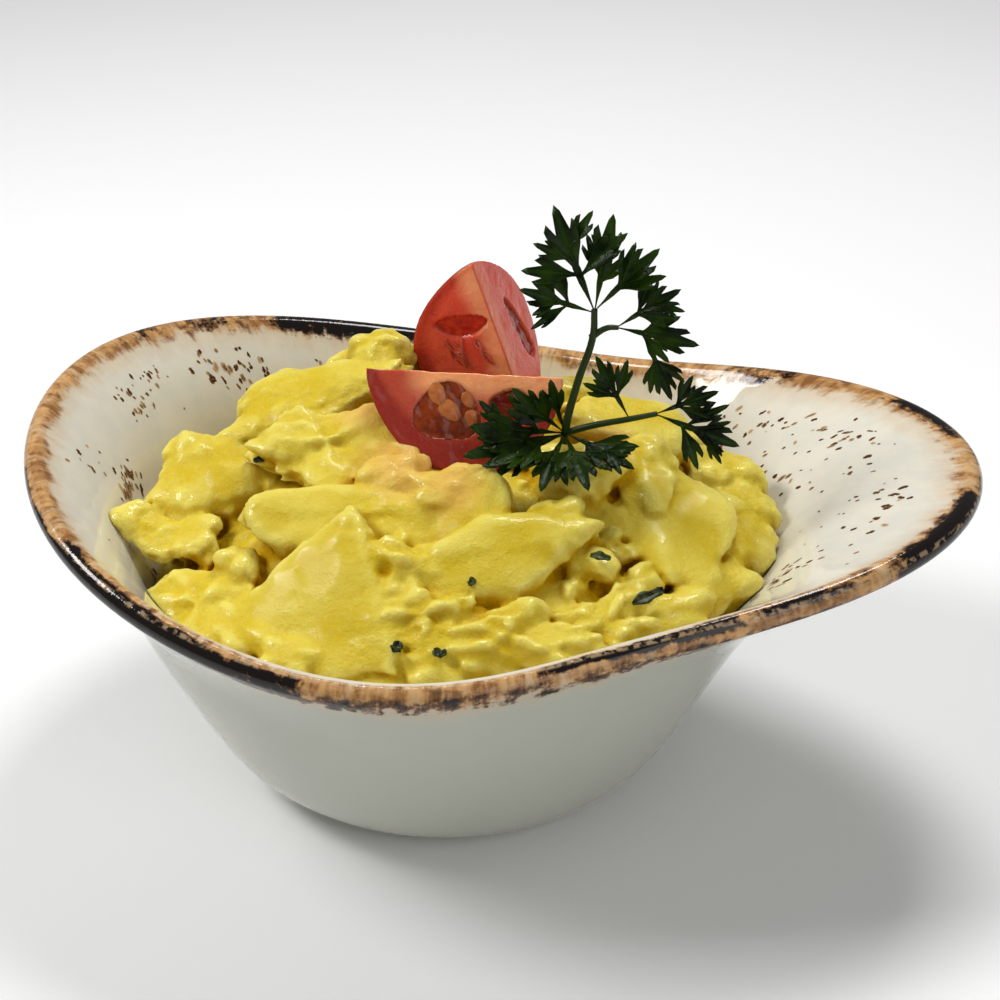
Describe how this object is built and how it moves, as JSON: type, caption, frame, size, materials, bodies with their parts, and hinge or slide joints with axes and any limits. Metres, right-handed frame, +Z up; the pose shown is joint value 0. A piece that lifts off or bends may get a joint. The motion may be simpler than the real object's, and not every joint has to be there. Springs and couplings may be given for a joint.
{
  "type": "bowl of potato salad",
  "caption": "Lipped ceramic bowl heaped with potato salad, garnished with tomato wedges and a parsley sprig.",
  "frame": {"origin": "on the table, under the middle of the bowl's length and width", "axes": "+X along the bowl's length towards its long lip, +Y away from the side that is seen first, +Z up"},
  "size_m": [0.1799, 0.1384, 0.1171],
  "materials": {
    "glazed_bowl": "glossy off-white glaze with brown speckles and a brushed brown rim",
    "potato": "moist, slightly translucent yellow potato",
    "tomato_flesh": "wet cut tomato flesh and glossy skin",
    "tomato_jelly": "wet translucent seed jelly",
    "parsley": "satin dark green leaf"
  },
  "bodies": {
    "root": {"bowl": "glazed_bowl", "potato_salad": "potato", "tomato_front_flesh": "tomato_flesh", "tomato_front_jelly_left": "tomato_jelly", "tomato_front_jelly_right": "tomato_jelly", "tomato_back_flesh": "tomato_flesh", "tomato_back_jelly_left": "tomato_jelly", "tomato_back_jelly_right": "tomato_jelly", "parsley_sprig": "parsley"}
  },
  "joints": []
}
